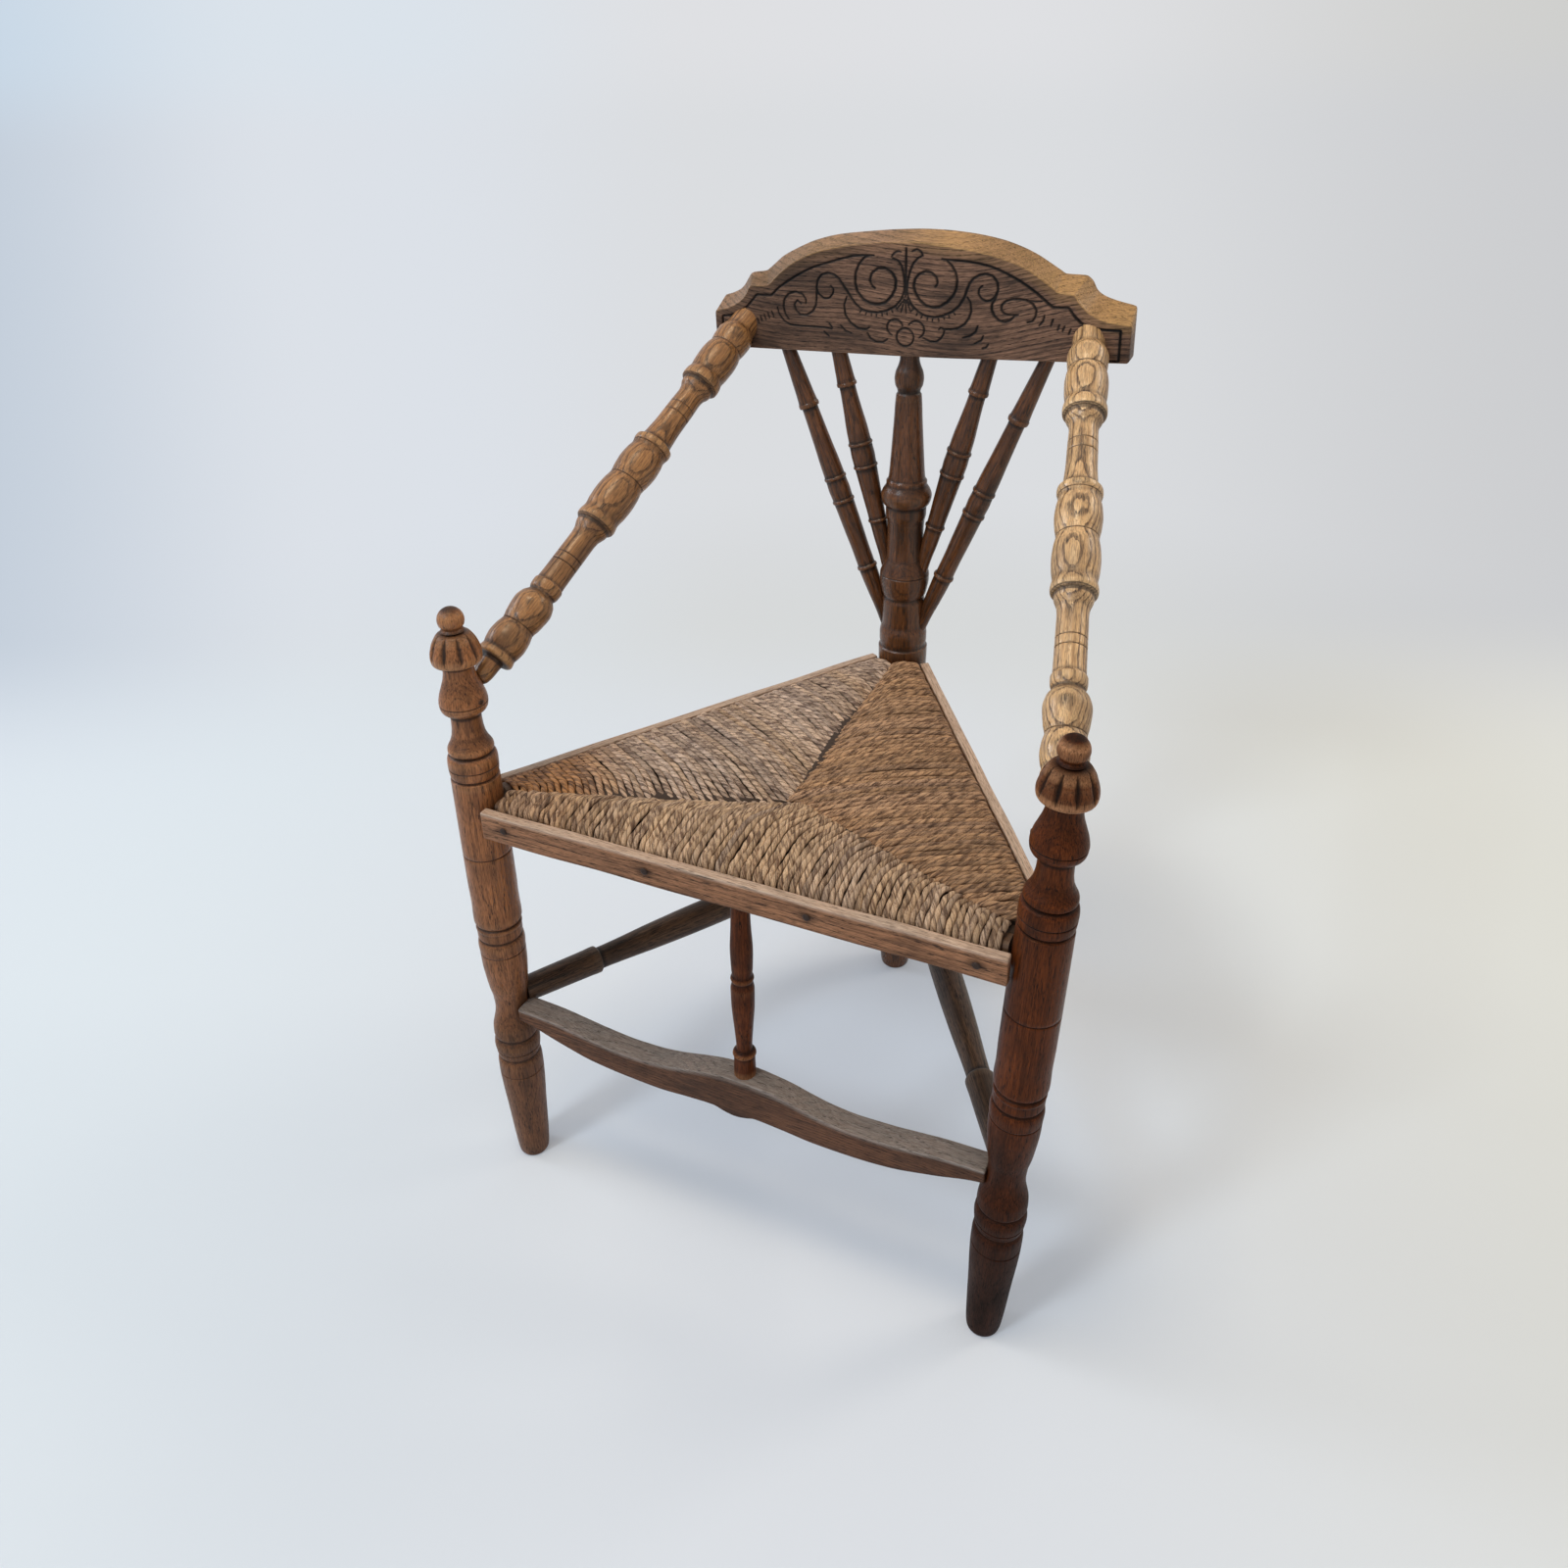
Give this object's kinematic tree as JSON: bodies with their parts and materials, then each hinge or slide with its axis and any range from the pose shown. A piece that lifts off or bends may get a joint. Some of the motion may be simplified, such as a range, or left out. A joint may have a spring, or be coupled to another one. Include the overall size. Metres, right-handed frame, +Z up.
{
  "type": "corner chair",
  "caption": "Turned wooden corner chair with a triangular rush seat, sloping turned arms, a shaped crest rail over splayed back spindles, and turned stretchers.",
  "frame": {"origin": "on the floor plane, below the middle of the overall width and depth", "axes": "+Z up; the sitter faces -Y, with the back post and crest rail towards +Y; +X is the side of the right arm as seen from the front"},
  "size_m": [0.552, 0.4462, 0.84],
  "materials": {
    "oak_light": "worn golden oak, satin wax",
    "oak_mid": "mid brown aged oak, satin wax",
    "oak_dark": "dark brown aged oak, satin wax",
    "oak_grey": "dull grey-brown carved oak",
    "rush": "matte twisted rush",
    "iron": "dark oxidised iron"
  },
  "bodies": {
    "root": {"left_post": "oak_mid", "right_post": "oak_mid", "front_stretcher": "oak_mid", "front_spindle": "oak_mid", "front_seat_rail": "oak_mid", "right_seat_rail": "oak_mid", "left_seat_rail": "oak_mid", "front_edge_strip": "oak_mid", "right_edge_strip": "oak_mid", "left_edge_strip": "oak_mid", "back_post": "oak_dark", "left_outer_spindle": "oak_dark", "left_inner_spindle": "oak_dark", "right_outer_spindle": "oak_dark", "right_inner_spindle": "oak_dark", "left_stretcher": "oak_dark", "right_stretcher": "oak_dark", "left_arm_peg": "oak_dark", "right_arm_peg": "oak_dark", "left_arm": "oak_light", "right_arm": "oak_light", "crest_rail": "oak_grey", "rush_seat": "rush", "front_nail_1": "iron", "front_nail_2": "iron", "front_nail_3": "iron", "front_nail_4": "iron", "right_nail_1": "iron", "right_nail_2": "iron", "right_nail_3": "iron", "left_nail_1": "iron", "left_nail_2": "iron", "left_nail_3": "iron"}
  },
  "joints": []
}
